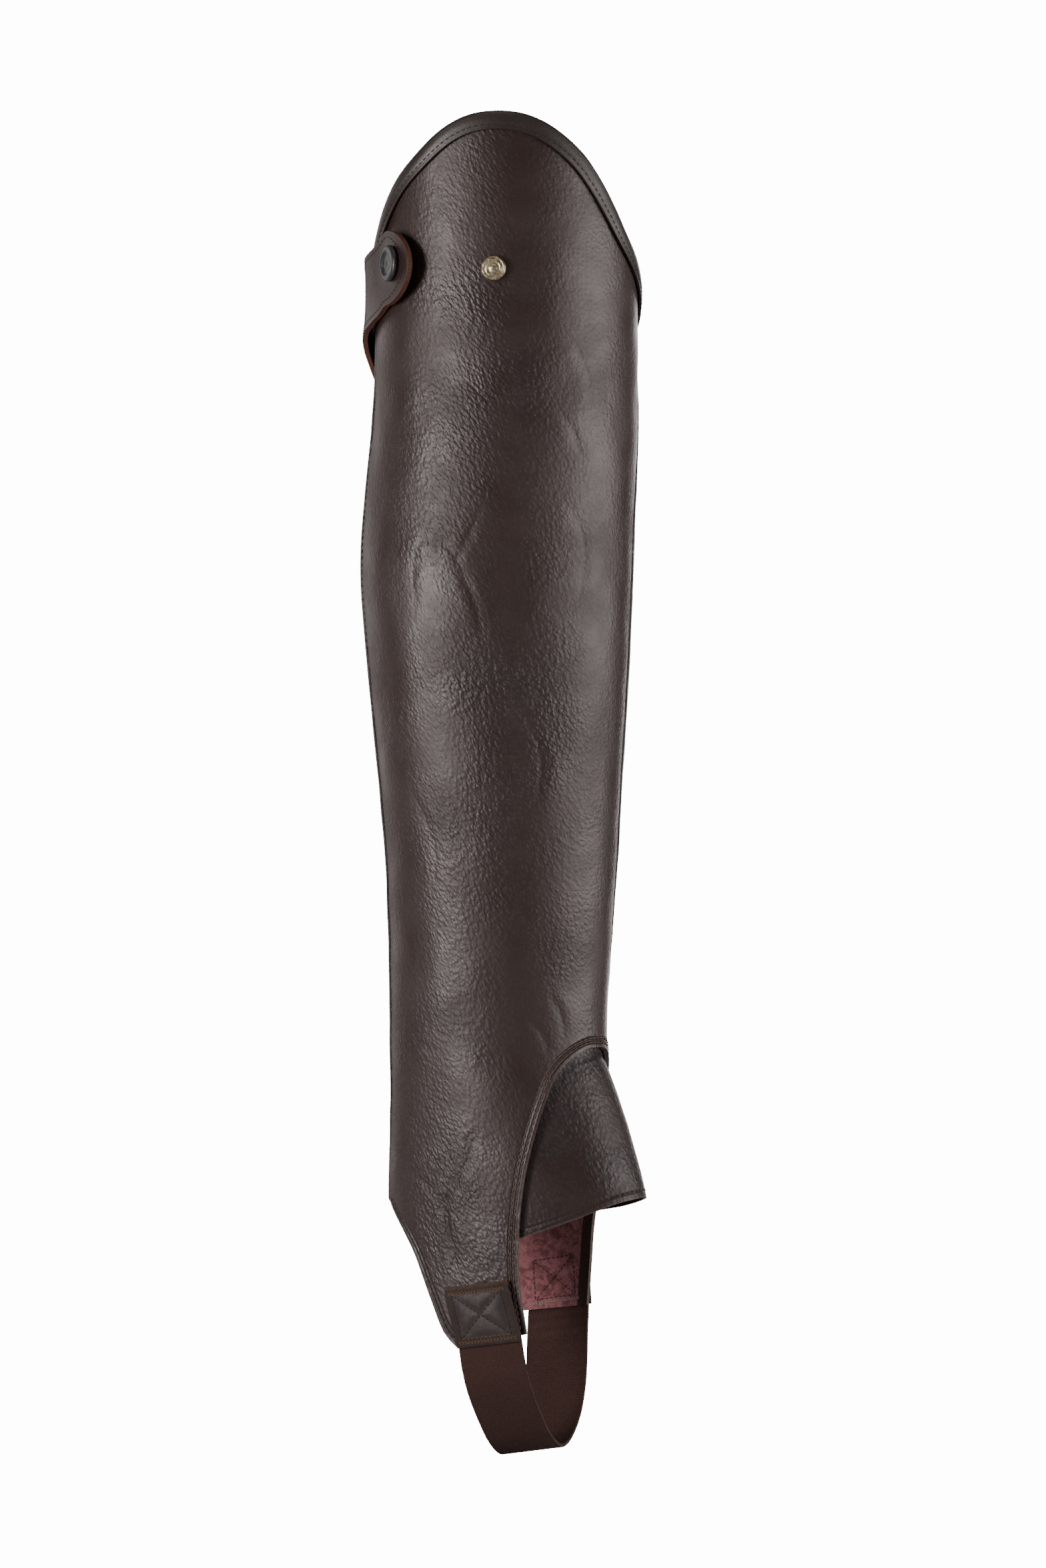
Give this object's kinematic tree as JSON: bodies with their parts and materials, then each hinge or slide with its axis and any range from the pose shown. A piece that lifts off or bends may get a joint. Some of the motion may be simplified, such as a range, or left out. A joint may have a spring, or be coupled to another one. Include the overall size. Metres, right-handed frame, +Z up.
{
  "type": "half chap",
  "caption": "Tall leather half chap: a tube for the lower leg with a scooped top, an arch over the instep, two ankle flaps and an elastic strap that passes under the boot.",
  "frame": {"origin": "on the leg's axis at the calf's widest height", "axes": "+Z up the leg, +X towards the toes, -Y the outer side of the leg"},
  "size_m": [0.1257, 0.1157, 0.5678],
  "materials": {
    "dark_brown_leather": "pebbled, half matt",
    "binding_leather": "fine grain, half matt",
    "patch_leather": "matt",
    "brown_elastic": "woven twill",
    "zip_tape_cloth": "woven",
    "zip_chain_plastic": "matt",
    "black_snap": "half matt",
    "dark_steel": "satin",
    "aged_brass": "aged"
  },
  "bodies": {
    "root": {"leg_panel": "dark_brown_leather", "instep_panel": "dark_brown_leather", "top_binding": "binding_leather", "closing_tab": "dark_brown_leather", "snap_cap": "black_snap", "snap_socket": "dark_steel", "front_stud": "aged_brass", "outer_strap_patch": "patch_leather", "inner_strap_patch": "patch_leather", "sole_strap": "brown_elastic", "zip_tape": "zip_tape_cloth", "zip_chain": "zip_chain_plastic", "zip_slider": "dark_steel", "zip_pull": "dark_steel"}
  },
  "joints": []
}
